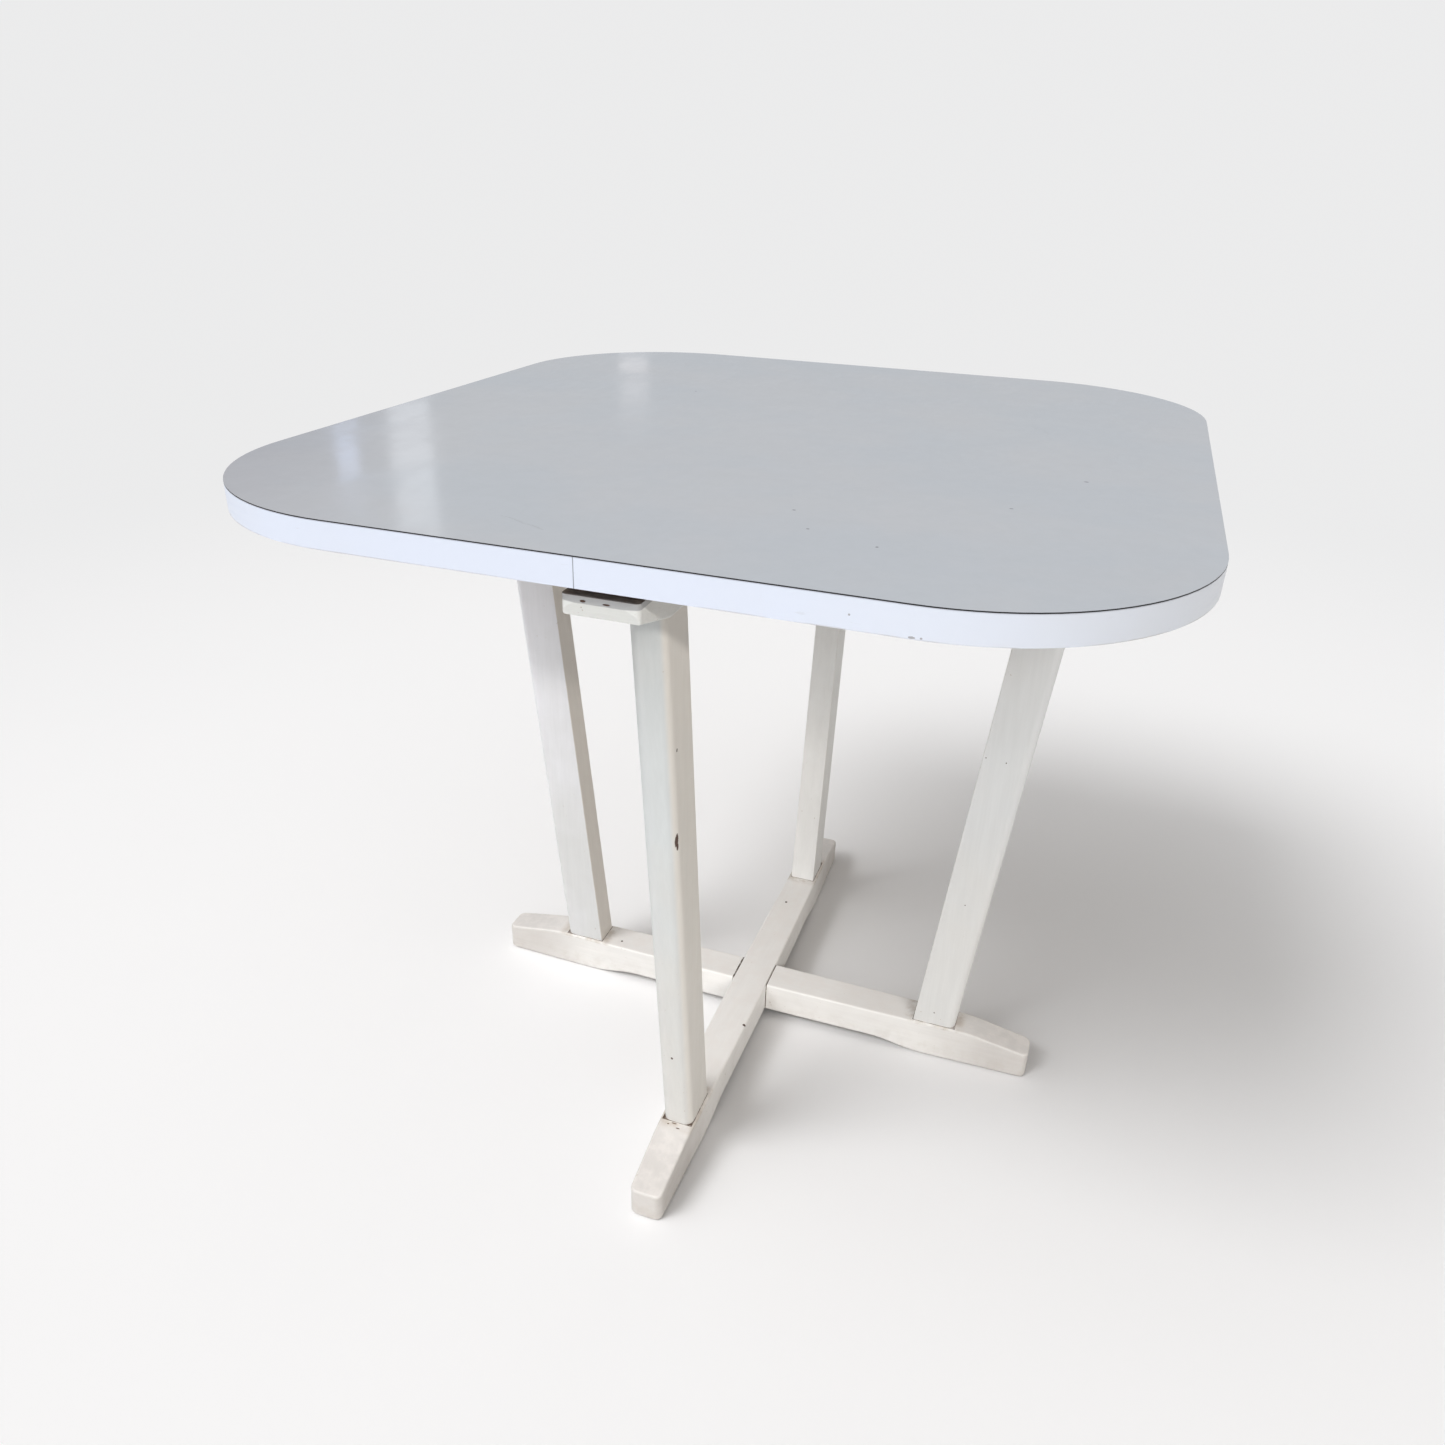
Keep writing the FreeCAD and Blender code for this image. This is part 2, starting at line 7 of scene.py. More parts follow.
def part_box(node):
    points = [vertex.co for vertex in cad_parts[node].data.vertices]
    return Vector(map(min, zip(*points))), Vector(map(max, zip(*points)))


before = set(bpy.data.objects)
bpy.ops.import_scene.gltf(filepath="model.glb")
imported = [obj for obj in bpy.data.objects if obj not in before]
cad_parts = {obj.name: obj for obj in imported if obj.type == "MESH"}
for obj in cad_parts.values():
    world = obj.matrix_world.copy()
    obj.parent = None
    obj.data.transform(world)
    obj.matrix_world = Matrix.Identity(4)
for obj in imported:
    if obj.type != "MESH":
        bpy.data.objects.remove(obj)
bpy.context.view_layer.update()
print("frame loaded with", len(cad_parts), "parts")

# Small square cafe table. Metres, front is -Y, left is -X, the floor is at zero.

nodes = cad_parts
topLow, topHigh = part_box("top_laminate")
bearerLow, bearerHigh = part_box("bearer_front_back")
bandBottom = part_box("edge_band_left")[0].z
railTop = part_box("foot_rail_side_side")[1].z

legSection = {"thick": 0.032, "deep": 0.049}
footHalf = (legSection["deep"] / 2, legSection["thick"] / 2)
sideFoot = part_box("leg_right")[0].x + footHalf[0]  # middle of a side leg's foot
frontFoot = -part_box("leg_front")[1].y + footHalf[0]  # the same for the front and back legs

# In the dictionaries below a noise is its scale, detail, roughness and perhaps its stretch.
# A name that ends in Fade is where a mask starts and ends, then its two values if not 0 and 1.


def feed(tree, socket, value):
    # another node's output is linked, anything else is typed in
    if isinstance(value, bpy.types.NodeSocket):
        tree.links.new(value, socket)
    elif socket.type == "RGBA" and len(value) == 3:
        socket.default_value = (*value, 1.0)
    else:
        socket.default_value = value


def addNode(tree, kind, inputs, **settings):
    node = tree.nodes.new(kind)
    for key, value in settings.items():
        setattr(node, key, value)
    for key, value in inputs.items():
        feed(tree, node.inputs[key], value)
    return node


def calc(tree, operation, *values, clamp=False):
    inputs = dict(enumerate(values))
    return addNode(tree, "ShaderNodeMath", inputs, operation=operation, use_clamp=clamp).outputs[0]


def times(tree, first, *others):
    for other in others:
        first = calc(tree, "MULTIPLY", first, other)
    return first


def minus(tree, value, taken):
    return calc(tree, "SUBTRACT", value, taken)


def absolute(tree, value):
    return calc(tree, "ABSOLUTE", value)


def vectorCalc(tree, operation, *values):
    node = addNode(tree, "ShaderNodeVectorMath", dict(enumerate(values)), operation=operation)
    return node.outputs["Value" if operation in ("LENGTH", "DOT_PRODUCT") else "Vector"]


def split(tree, vector):
    return addNode(tree, "ShaderNodeSeparateXYZ", {0: vector}).outputs


def smooth(tree, value, start, end, low=0.0, high=1.0):
    inputs = {"Value": value, "From Min": start, "From Max": end, "To Min": low, "To Max": high}
    return addNode(tree, "ShaderNodeMapRange", inputs, interpolation_type="SMOOTHSTEP").outputs[0]


def noise(tree, vector, scale, detail, rough, stretch=(1, 1, 1)):
    scaled = vectorCalc(tree, "MULTIPLY", vector, tuple(scale * s for s in stretch))
    inputs = {"Vector": scaled, "Scale": 1.0, "Detail": detail, "Roughness": rough}
    return addNode(tree, "ShaderNodeTexNoise", inputs).outputs[0]


def drawnOut(along, squeeze):
    # the stretch of a noise that runs along one axis, as grain and brush strokes do
    return tuple(squeeze if axis == along else 1.0 for axis in "xyz")


def sway(tree, value, cloud, amount, clamp=False):
    # a noise's middle is 0.5, so this pushes the value up in some places and down in others
    return calc(tree, "MULTIPLY_ADD", minus(tree, cloud, 0.5), amount, value, clamp=clamp)


def stack(tree, layers, shares):
    # adds heights up, each by its own share
    height = 0.0
    for key, layer in layers.items():
        height = calc(tree, "MULTIPLY_ADD", layer, shares[key], height)
    return height


def blendColor(tree, factor, first, second, way="MIX"):
    node = tree.nodes.new("ShaderNodeMix")
    node.data_type = "RGBA"
    node.blend_type = way
    feed(tree, node.inputs[0], factor)
    feed(tree, node.inputs[6], first)
    feed(tree, node.inputs[7], second)
    return node.outputs[2]


def cover(tree, color, tint, mask, *strengths):
    # lays a tint over a colour
    return blendColor(tree, times(tree, mask, *strengths), color, tint)


def shaded(tree, color, shade):
    grey = addNode(tree, "ShaderNodeCombineXYZ", {0: shade, 1: shade, 2: shade}).outputs[0]
    return blendColor(tree, 1.0, color, grey, "MULTIPLY")


def newMaterial(name):
    material = bpy.data.materials.new(name)
    material.use_nodes = True
    tree = material.node_tree
    place = tree.nodes.new("ShaderNodeTexCoord").outputs["Object"]
    return material, tree, tree.nodes["Principled BSDF"], place


def faceNormal(tree):
    return tree.nodes.new("ShaderNodeNewGeometry").outputs["Normal"]


def bump(tree, shader, height, depth):
    node = addNode(tree, "ShaderNodeBump", {"Height": height, "Distance": depth, "Strength": 1.0})
    feed(tree, shader.inputs["Normal"], node.outputs[0])


def dress(material, *names):
    for name in names:
        nodes[name].data.materials[0] = material


blot = {"rag": (900.0, 3.0, 0.6), "wobble": 0.35, "rimFade": (1.05, 0.8)}


def marks(tree, place, spots):
    # small blots, each a middle and a half size, with an uneven outline
    ragged = noise(tree, place, *blot["rag"])
    total = None
    for middle, half in spots:
        offset = vectorCalc(tree, "SUBTRACT", place, middle)
        scaled = vectorCalc(tree, "DIVIDE", offset, half)
        reach = vectorCalc(tree, "LENGTH", scaled)
        uneven = sway(tree, reach, ragged, -2 * blot["wobble"])
        mask = smooth(tree, uneven, *blot["rimFade"])
        total = mask if total is None else calc(tree, "MAXIMUM", total, mask)
    return total


def thinLine(tree, away, wide, core):
    # away is how far off the line a point is, and core the share of its width at full strength
    return smooth(tree, away, wide, wide * core)


def edgeMask(tree, facing, radius):
    # how near an outside corner is, from the bevelled normal
    bevel = addNode(tree, "ShaderNodeBevel", {"Radius": radius}, samples=4).outputs[0]
    return calc(tree, "SUBTRACT", 1.0, vectorCalc(tree, "DOT_PRODUCT", bevel, facing), clamp=True)


paint = {
    "grime": (0.42, 0.34, 0.26),
    "undercoatAndHighlight": (0.95, 0.92, 0.88),  # creamy, where the top coat has rubbed thin, and a painted highlight along the arrises
    "wood": (0.075, 0.035, 0.022),  # dark wood in the chips
    "jointColor": (0.10, 0.065, 0.045),
    "roughness": (0.36, 0.54),
    "rubRoughness": 0.15,
    "strokeDepth": 0.00006,
    "relief": {"strokes": 0.7, "swipes": 0.8, "fine": 0.12, "chips": -2.5, "bare": -1.5},
    "strokes": (420.0, 3.0, 0.65),
    "strokeSqueeze": 0.045,
    "swipes": (110.0, 2.0, 0.5),
    "swipeSqueeze": 0.12,
    "clouds": (14.0, 4.0, 0.55),
    "fine": (1500.0, 2.0, 0.6),
    "patches": (55.0, 5.0, 0.62),
    "specks": (260.0, 1.0, 0.5),
    "coatByHeightSway": 1.3,
    "toeSway": 0.5,
    "dust": 0.16,
    "speck": 0.55,
    "strokeFade": (0.30, 0.72, 0.985, 1.012),
    "swipeFade": (0.35, 0.68, 0.985, 1.01),
    "paintedSideLightFade": (0.35, 0.85),
    "upwardFade": (0.5, 0.95),
    "treadFade": (0.38, 0.66, 0.35, 1.0),
    "cornerFade": (0.02, 0.16),
    "rubAndHighlightFade": (0.40, 0.62, 0.25, 1.0),
    "deepFade": (0.05, 0.2),
    "bareFade": (0.675, 0.72),
    "dustFade": (0.42, 0.70),
    "speckFade": (0.755, 0.80),
    "speckCloudFade": (0.45, 0.6),
    "roughFade": (0.3, 0.7),
}
joints = {
    "broken": (160.0, 2.0, 0.5),
    "brokenFade": (0.36, 0.55, 0.45, 1.0),
    "faceFade": (railTop - 0.004, railTop - 0.001),  # only on the rails' upper faces
    "gapWide": 0.0011,
    "pegCore": 0.25,
    "haloWide": 0.015,
    "haloFade": (0.35, 0.65),
    "halo": 0.50,
    "crossingAt": 0.0218,  # from the middle to the front rail's sides
    "crossingCore": 0.3,
}


def frameLine(tree, place, middle, half, wide):
    # the outline of an upright rectangular peg, seen from above
    x, y, _ = split(tree, vectorCalc(tree, "SUBTRACT", place, (*middle, 0.0)))
    outX = minus(tree, absolute(tree, x), half[0])
    outY = minus(tree, absolute(tree, y), half[1])
    return thinLine(tree, calc(tree, "MAXIMUM", outX, outY), wide, joints["pegCore"])


def jointDirt(tree, place, patch, color, pegs, crossing):
    # dark gaps and gathered dirt round the legs' feet, and a dark line where the rails cross
    x, _, z = split(tree, place)
    broken = smooth(tree, noise(tree, place, *joints["broken"]), *joints["brokenFade"])
    upper = smooth(tree, z, *joints["faceFade"])
    for middle, half in pegs:
        halo = frameLine(tree, place, middle, half, joints["haloWide"])
        halo = times(tree, halo, smooth(tree, patch, *joints["haloFade"]), upper)
        color = cover(tree, color, paint["grime"], halo, joints["halo"])
        gap = frameLine(tree, place, middle, half, joints["gapWide"])
        color = cover(tree, color, paint["jointColor"], gap, broken, upper)
    if crossing:
        away = absolute(tree, minus(tree, absolute(tree, x), joints["crossingAt"]))
        line = thinLine(tree, away, joints["gapWide"], joints["crossingCore"])
        color = cover(tree, color, paint["jointColor"], line, broken)
    return color


def paintedWood(name, along, wear, pegs=(), crossing=False):
    material, tree, shader, place = newMaterial(name)
    facing = faceNormal(tree)
    x, y, z = split(tree, place)
    rightward, _, upward = split(tree, facing)

    strokes = noise(tree, place, *paint["strokes"], drawnOut(along, paint["strokeSqueeze"]))
    swipes = noise(tree, place, *paint["swipes"], drawnOut(along, paint["swipeSqueeze"]))
    cloud = noise(tree, place, *paint["clouds"])
    fine = noise(tree, place, *paint["fine"])
    patch = noise(tree, place, *paint["patches"])

    # from the upper coat to the lower by height, swayed by cloudy patches; on the legs the coats are painted
    # light
    coatByHeight = sway(tree, smooth(tree, z, *wear["coatByHeightFade"]), cloud, paint["coatByHeightSway"], clamp=True)
    color = blendColor(tree, coatByHeight, *wear["coat"])
    # faces turned to the right take another colour: painted light, the tone the side light gives them
    if "paintedSideLight" in wear:
        color = cover(tree, color, wear["paintedSideLight"], smooth(tree, rightward, *paint["paintedSideLightFade"]))
    # the toes darker and warmer: partly real grime and worn beige, partly painted shade offsetting the light
    # the toes get outside the top's shadow
    if "toe" in wear:
        outward = calc(tree, "MAXIMUM", absolute(tree, x), absolute(tree, y))
        toe = sway(tree, smooth(tree, outward, *wear["toeFade"]), cloud, paint["toeSway"], clamp=True)
        color = cover(tree, color, wear["toe"], toe)
    color = shaded(tree, color, smooth(tree, strokes, *paint["strokeFade"]))
    color = shaded(tree, color, smooth(tree, swipes, *paint["swipeFade"]))

    # faces that look up are handled and trodden
    tread = times(tree, smooth(tree, upward, *paint["upwardFade"]), smooth(tree, patch, *paint["treadFade"]))
    color = cover(tree, color, wear["treadColor"], tread, wear["tread"])

    # rubbed corners: a pale line, partly undercoat where the coat has rubbed thin and partly a painted
    # highlight along the arrises, with bare wood in the deepest places
    corner = edgeMask(tree, facing, wear["reach"])
    rubAndHighlight = times(tree, smooth(tree, corner, *paint["cornerFade"]), smooth(tree, patch, *paint["rubAndHighlightFade"]))
    color = cover(tree, color, paint["undercoatAndHighlight"], rubAndHighlight, wear["edge"])
    deep = times(tree, smooth(tree, corner, *paint["deepFade"]), smooth(tree, patch, *paint["bareFade"]))
    color = cover(tree, color, paint["wood"], deep, wear["bare"])

    # dirt: a soft dusting low down and specks all over; and a painted shadow, a dark band along a top edge
    # where the table top's shadow falls
    if "dustFrom" in wear:
        low = times(tree, smooth(tree, z, wear["dustFrom"], 0.0), smooth(tree, patch, *paint["dustFade"]))
        color = cover(tree, color, paint["grime"], low, paint["dust"])
    speck = smooth(tree, noise(tree, place, *paint["specks"]), *paint["speckFade"])
    speck = times(tree, speck, smooth(tree, cloud, *paint["speckCloudFade"]))
    color = cover(tree, color, paint["grime"], speck, paint["speck"])
    if "paintedShadow" in wear:
        color = cover(tree, color, wear["paintedShadow"], smooth(tree, z, *wear["paintedShadowFade"]))
    chipped = marks(tree, place, wear["chips"]) if "chips" in wear else 0.0
    color = cover(tree, color, paint["wood"], chipped)
    if pegs:
        color = jointDirt(tree, place, patch, color, pegs, crossing)
    feed(tree, shader.inputs["Base Color"], color)

    rough = smooth(tree, patch, *paint["roughFade"], *paint["roughness"])
    rough = calc(tree, "MULTIPLY_ADD", rubAndHighlight, paint["rubRoughness"], rough)
    feed(tree, shader.inputs["Roughness"], rough)
    layers = {"strokes": strokes, "swipes": swipes, "fine": fine, "chips": chipped, "bare": deep}
    height = stack(tree, layers, paint["relief"])
    bump(tree, shader, height, paint["strokeDepth"] * wear.get("coarse", 1.0))
    return material


legWear = {
    "coatByHeightFade": (0.50, 0.10),
    "tread": 0.2,
    "treadColor": (0.80, 0.77, 0.73),
    "edge": 0.7,
    "bare": 0.5,
    "reach": 0.0030,
}
# a coat runs from cool white above to warmer below; these coats are painted light, each leg's pair set
# lighter or darker to offset the light that leg gets
legs = {
    "leg_front": {
        "coat": ((0.665, 0.695, 0.705), (0.700, 0.695, 0.675)),
        "paintedSideLight": (0.815, 0.790, 0.745),
        "chips": [
            ((0.0152, -0.3085, 0.4290), (0.0030, 0.0020, 0.0080)),
            ((0.0156, -0.3070, 0.4215), (0.0030, 0.0012, 0.0040)),
            ((0.0160, -0.3120, 0.5200), (0.0012, 0.0014, 0.0018)),
            ((-0.0010, -0.2780, 0.1460), (0.0013, 0.0060, 0.0016)),
            ((0.0158, -0.3300, 0.5860), (0.0010, 0.0012, 0.0090)),
            ((-0.0150, -0.3340, 0.6100), (0.0008, 0.0040, 0.0060)),
            ((-0.0120, -0.3390, 0.5980), (0.0012, 0.0040, 0.0014)),
        ],
    },
    "leg_right": {
        "coat": ((0.765, 0.785, 0.800), (0.775, 0.775, 0.765)),
        "chips": [
            ((0.2450, -0.0160, 0.2230), (0.0006, 0.0020, 0.0008)),
            ((0.2280, -0.0160, 0.0630), (0.0008, 0.0020, 0.0009)),
            ((0.2650, -0.0160, 0.4080), (0.0007, 0.0020, 0.0007)),
            ((0.2440, -0.0160, 0.4100), (0.0006, 0.0020, 0.0007)),
        ],
    },
    "leg_back": {
        "coat": ((0.965, 0.975, 0.970), (0.880, 0.875, 0.860)),
    },
    "leg_left": {
        "coat": ((0.840, 0.845, 0.885), (0.700, 0.705, 0.705)),
        "paintedSideLight": (0.770, 0.730, 0.680),
    },
}
for name, leg in legs.items():
    dress(paintedWood("painted_" + name, "z", {**legWear, **leg}), name)

# the rails' coat is set light to offset the table top's shade over them: painted light
railWear = {
    "coatByHeightFade": (0.9, 0.6),
    "coat": ((0.925, 0.925, 0.915), (0.915, 0.900, 0.878)),
    "toe": (0.655, 0.628, 0.604),
    "toeFade": (0.20, 0.31),
    "dustFrom": 0.05,
    "tread": 0.6,
    "treadColor": (0.88, 0.840, 0.810),
    "edge": 0.95,
    "bare": 0.8,
    "reach": 0.0042,
}
sideRail = {
    "chips": [((-0.1800, -0.0070, railTop), (0.0016, 0.0016, 0.0030))],
}
frontRail = {
    "chips": [
        ((-0.0050, 0.1540, railTop), (0.0018, 0.0018, 0.0030)),
        ((0.0190, -0.0990, railTop), (0.0020, 0.0020, 0.0040)),
        ((-0.0020, -0.2680, railTop), (0.0030, 0.0010, 0.0030)),
        ((0.0040, -0.2730, railTop), (0.0024, 0.0008, 0.0030)),
        ((-0.0080, -0.2705, railTop), (0.0012, 0.0009, 0.0030)),
    ],
}
sideFeet = [((sideFoot, 0.0), footHalf), ((-sideFoot, 0.0), footHalf)]
frontFeet = [((0.0, frontFoot), footHalf[::-1]), ((0.0, -frontFoot), footHalf[::-1])]
sidePaint = paintedWood("painted_foot_rail_side", "x", {**railWear, **sideRail}, sideFeet, crossing=True)
frontPaint = paintedWood("painted_foot_rail_front", "y", {**railWear, **frontRail}, frontFeet)
dress(sidePaint, "foot_rail_side_side")
dress(frontPaint, "foot_rail_front_back")

bearerWear = {
    "coatByHeightFade": (0.9, 0.6),
    "coat": ((0.84, 0.86, 0.85), (0.84, 0.86, 0.85)),
    "tread": 0.9,
    "treadColor": (0.12, 0.07, 0.045),  # the hidden upper faces are bare wood
    "edge": 0.5,
    "bare": 1.0,
    "reach": 0.0022,
    "coarse": 9.0,
    # a painted shadow band under the bearer's top edge, where the table top's shadow falls
    "paintedShadow": (0.20, 0.205, 0.235),
    "paintedShadowFade": (bearerHigh.z - 0.0052, bearerHigh.z - 0.0040, 0.0, 0.62),
}
frontBearer = {
    "chips": [
        ((-0.0120, bearerLow.y, bearerHigh.z - 0.0028), (0.0022, 0.004, 0.0008)),
        ((0.0060, bearerLow.y, bearerHigh.z - 0.0030), (0.0030, 0.004, 0.0006)),
    ],
}
dress(paintedWood("painted_bearer_front", "x", {**bearerWear, **frontBearer}), "bearer_front_back")
dress(paintedWood("painted_bearer_side", "y", bearerWear), "bearer_side_side")
print("painted wood done")


laminate = {
    "color": (0.490, 0.521, 0.566),
    "cloudColor": (0.512, 0.530, 0.564),
    "dustColor": (0.62, 0.63, 0.65),
    "scratchColor": (0.16, 0.16, 0.17),
    "speckColor": (0.10, 0.09, 0.09),
    "coreColor": (0.012, 0.012, 0.014),
    "speck": 0.55,
    "gloss": 0.32,
    "roughness": (0.085, 0.205),
    "scratchRoughness": 0.25,
    "coreRoughness": 0.4,
    "reliefDepth": 0.00035,
    "relief": {"waves": 1.0, "dust": 0.05, "scratches": -0.15},
    "clouds": (5.0, 4.0, 0.6),
    "mottle": (70.0, 5.0, 0.7),
    "dust": (700.0, 2.0, 0.6),
    "scuffs": (26.0, 5.0, 0.7, (1.0, 0.35, 1.0)),
    "waves": (9.0, 2.0, 0.5),
    "cloudFade": (0.35, 0.65),
    "mottleFade": (0.25, 0.75, 0.985, 1.015),
    "dustFade": (0.62, 0.80, 0.0, 0.10),
    "scuffFade": (0.35, 0.75),
    "coreFade": (0.6, 0.3),
    "specks": [
        ((0.297, -0.078, topHigh.z), (0.0022, 0.0018, 0.002)),
        ((0.092, -0.264, topHigh.z), (0.0016, 0.0014, 0.002)),
        ((0.115, -0.307, topHigh.z), (0.0014, 0.0014, 0.002)),
        ((0.171, -0.329, topHigh.z), (0.0013, 0.0016, 0.002)),
        ((0.247, -0.190, topHigh.z), (0.0018, 0.0013, 0.002)),
        ((-0.150, 0.160, topHigh.z), (0.0014, 0.0014, 0.002)),
    ],
}
scratch = {
    # each a middle, a length and a turn in degrees
    "lines": [
        ((-0.080, -0.377, topHigh.z), 0.052, -22.0),
        ((0.130, -0.180, topHigh.z), 0.030, 35.0),
        ((0.240, 0.120, topHigh.z), 0.040, -60.0),
    ],
    "bend": (45.0, 2.0, 0.5),
    "waver": 0.012,
    "wideFade": (0.00045, 0.0001),
    "taperFade": (1 / 2, 1 / 2.6),  # shares of the length
    "strength": 0.62,
}


def scratchLines(tree, place):
    # hairline scratches, each a thin bent line
    bend = noise(tree, place, *scratch["bend"])
    total = 0.0
    for middle, long, turn in scratch["lines"]:
        inputs = {"Vector": vectorCalc(tree, "SUBTRACT", place, middle), "Angle": math.radians(-turn)}
        spun = addNode(tree, "ShaderNodeVectorRotate", inputs, rotation_type="Z_AXIS").outputs[0]
        x, y, _ = split(tree, spun)
        wavy = sway(tree, y, bend, scratch["waver"])
        thin = smooth(tree, absolute(tree, wavy), *scratch["wideFade"])
        ends = smooth(tree, absolute(tree, x), *(long * share for share in scratch["taperFade"]))
        total = calc(tree, "MAXIMUM", total, times(tree, thin, ends))
    return total


def greyLaminate():
    material, tree, shader, place = newMaterial("grey_laminate_gloss")
    cloud = noise(tree, place, *laminate["clouds"])
    mottle = noise(tree, place, *laminate["mottle"])
    dust = noise(tree, place, *laminate["dust"])
    cloudy = smooth(tree, cloud, *laminate["cloudFade"])
    color = blendColor(tree, cloudy, laminate["color"], laminate["cloudColor"])
    color = shaded(tree, color, smooth(tree, mottle, *laminate["mottleFade"]))
    color = cover(tree, color, laminate["dustColor"], smooth(tree, dust, *laminate["dustFade"]))
    scratches = scratchLines(tree, place)
    color = cover(tree, color, laminate["scratchColor"], scratches, scratch["strength"])
    specks = marks(tree, place, laminate["specks"])
    color = cover(tree, color, laminate["speckColor"], specks, laminate["speck"])

    # the sheet's cut edge is its dark core
    upward = absolute(tree, split(tree, faceNormal(tree))[2])
    core = smooth(tree, upward, *laminate["coreFade"])
    color = cover(tree, color, laminate["coreColor"], core)
    feed(tree, shader.inputs["Base Color"], color)

    scuff = noise(tree, place, *laminate["scuffs"])
    rough = smooth(tree, scuff, *laminate["scuffFade"], *laminate["roughness"])
    rough = calc(tree, "MULTIPLY_ADD", scratches, laminate["scratchRoughness"], rough)
    rough = calc(tree, "MULTIPLY_ADD", core, laminate["coreRoughness"], rough)
    feed(tree, shader.inputs["Roughness"], rough)
    shader.inputs["Specular IOR Level"].default_value = laminate["gloss"]
    layers = {"waves": noise(tree, place, *laminate["waves"]), "dust": dust, "scratches": scratches}
    bump(tree, shader, stack(tree, layers, laminate["relief"]), laminate["reliefDepth"])
    return material


band = {
    "color": (0.700, 0.755, 0.880),
    "paintedShadeRight": (0.690, 0.725, 0.790),
    "scuffColor": (0.50, 0.52, 0.56),
    "upperGrime": (0.25, 0.26, 0.30),
    "lowerGrime": (0.36, 0.31, 0.27),
    "seamColor": (0.16, 0.17, 0.20),
    "nickColor": (0.30, 0.29, 0.30),
    "seamAt": -0.013,
    "seamWide": 0.0005,
    "seamCore": 0.4,
    "seam": 0.8,
    "nick": 0.8,
    "roughness": (0.28, 0.48),
    "reliefDepth": 0.00012,
    "relief": {"ripple": 1.0, "seam": -0.8},
    "clouds": (18.0, 4.0, 0.6),
    "paintedShadeRightSway": 0.6,
    "scuffs": (150.0, 4.0, 0.7, (0.3, 0.3, 1.6)),
    "ripple": (60.0, 3.0, 0.5, (1.0, 1.0, 0.3)),
    "rightFade": (0.05, 0.42, 0.0, 0.9),
    "scuffFade": (0.66, 0.78, 0.0, 0.3),
    "roughFade": (0.3, 0.75),
    "upperFade": (topLow.z - 0.0012, topLow.z - 0.0002, 0.0, 0.35),
    "lowerFade": (bandBottom + 0.0012, bandBottom, 0.0, 0.5),
    "lowerCloudFade": (0.4, 0.62),
    "nicks": [
        ((0.217, topLow.y, 0.6980), (0.0024, 0.003, 0.0009)),
        ((0.223, topLow.y, 0.6982), (0.0009, 0.003, 0.0007)),
        ((0.177, topLow.y, 0.7070), (0.0008, 0.003, 0.0008)),
    ],
}


def edgeBand():
    material, tree, shader, place = newMaterial("white_edge_band_satin")
    x, _, z = split(tree, place)
    cloud = noise(tree, place, *band["clouds"])
    # towards the right the band turns duller and less blue: painted shade
    paintedShadeRight = sway(tree, smooth(tree, x, *band["rightFade"]), cloud, band["paintedShadeRightSway"], clamp=True)
    color = blendColor(tree, paintedShadeRight, band["color"], band["paintedShadeRight"])
    scuffs = noise(tree, place, *band["scuffs"])
    color = cover(tree, color, band["scuffColor"], smooth(tree, scuffs, *band["scuffFade"]))

    # grime against the dark line above and in the rough lower corner
    color = cover(tree, color, band["upperGrime"], smooth(tree, z, *band["upperFade"]))
    lower = times(tree, smooth(tree, z, *band["lowerFade"]), smooth(tree, cloud, *band["lowerCloudFade"]))
    color = cover(tree, color, band["lowerGrime"], lower)
    away = absolute(tree, minus(tree, x, band["seamAt"]))
    seam = thinLine(tree, away, band["seamWide"], band["seamCore"])
    color = cover(tree, color, band["seamColor"], seam, band["seam"])
    nicks = marks(tree, place, band["nicks"])
    color = cover(tree, color, band["nickColor"], nicks, band["nick"])
    feed(tree, shader.inputs["Base Color"], color)

    rough = smooth(tree, scuffs, *band["roughFade"], *band["roughness"])
    feed(tree, shader.inputs["Roughness"], rough)
    layers = {"ripple": noise(tree, place, *band["ripple"]), "seam": seam}
    bump(tree, shader, stack(tree, layers, band["relief"]), band["reliefDepth"])
    return material


backing = {
    "dark": (0.235, 0.175, 0.125),
    "light": (0.315, 0.245, 0.180),
    "fibreColor": (0.16, 0.11, 0.075),
    "stainColor": (0.10, 0.07, 0.05),
    "roughness": (0.6, 0.8),
    "fibreDepth": 0.00012,
    "clouds": (9.0, 5.0, 0.6),
    "fibres": (480.0, 4.0, 0.7, (1.0, 0.25, 1.0)),
    "stains": (22.0, 4.0, 0.7),
    "cloudFade": (0.3, 0.7),
    "fibreFade": (0.45, 0.75, 0.0, 0.45),
    "stainFade": (0.62, 0.72, 0.0, 0.35),
    "roughFade": (0.3, 0.7),
}


def backingSheet():
    material, tree, shader, place = newMaterial("backing_sheet_matt")
    cloud = smooth(tree, noise(tree, place, *backing["clouds"]), *backing["cloudFade"])
    fibre = noise(tree, place, *backing["fibres"])
    stain = smooth(tree, noise(tree, place, *backing["stains"]), *backing["stainFade"])
    color = blendColor(tree, cloud, backing["dark"], backing["light"])
    color = cover(tree, color, backing["fibreColor"], smooth(tree, fibre, *backing["fibreFade"]))
    color = cover(tree, color, backing["stainColor"], stain)
    feed(tree, shader.inputs["Base Color"], color)
    rough = smooth(tree, fibre, *backing["roughFade"], *backing["roughness"])
    feed(tree, shader.inputs["Roughness"], rough)
    bump(tree, shader, fibre, backing["fibreDepth"])
    return material


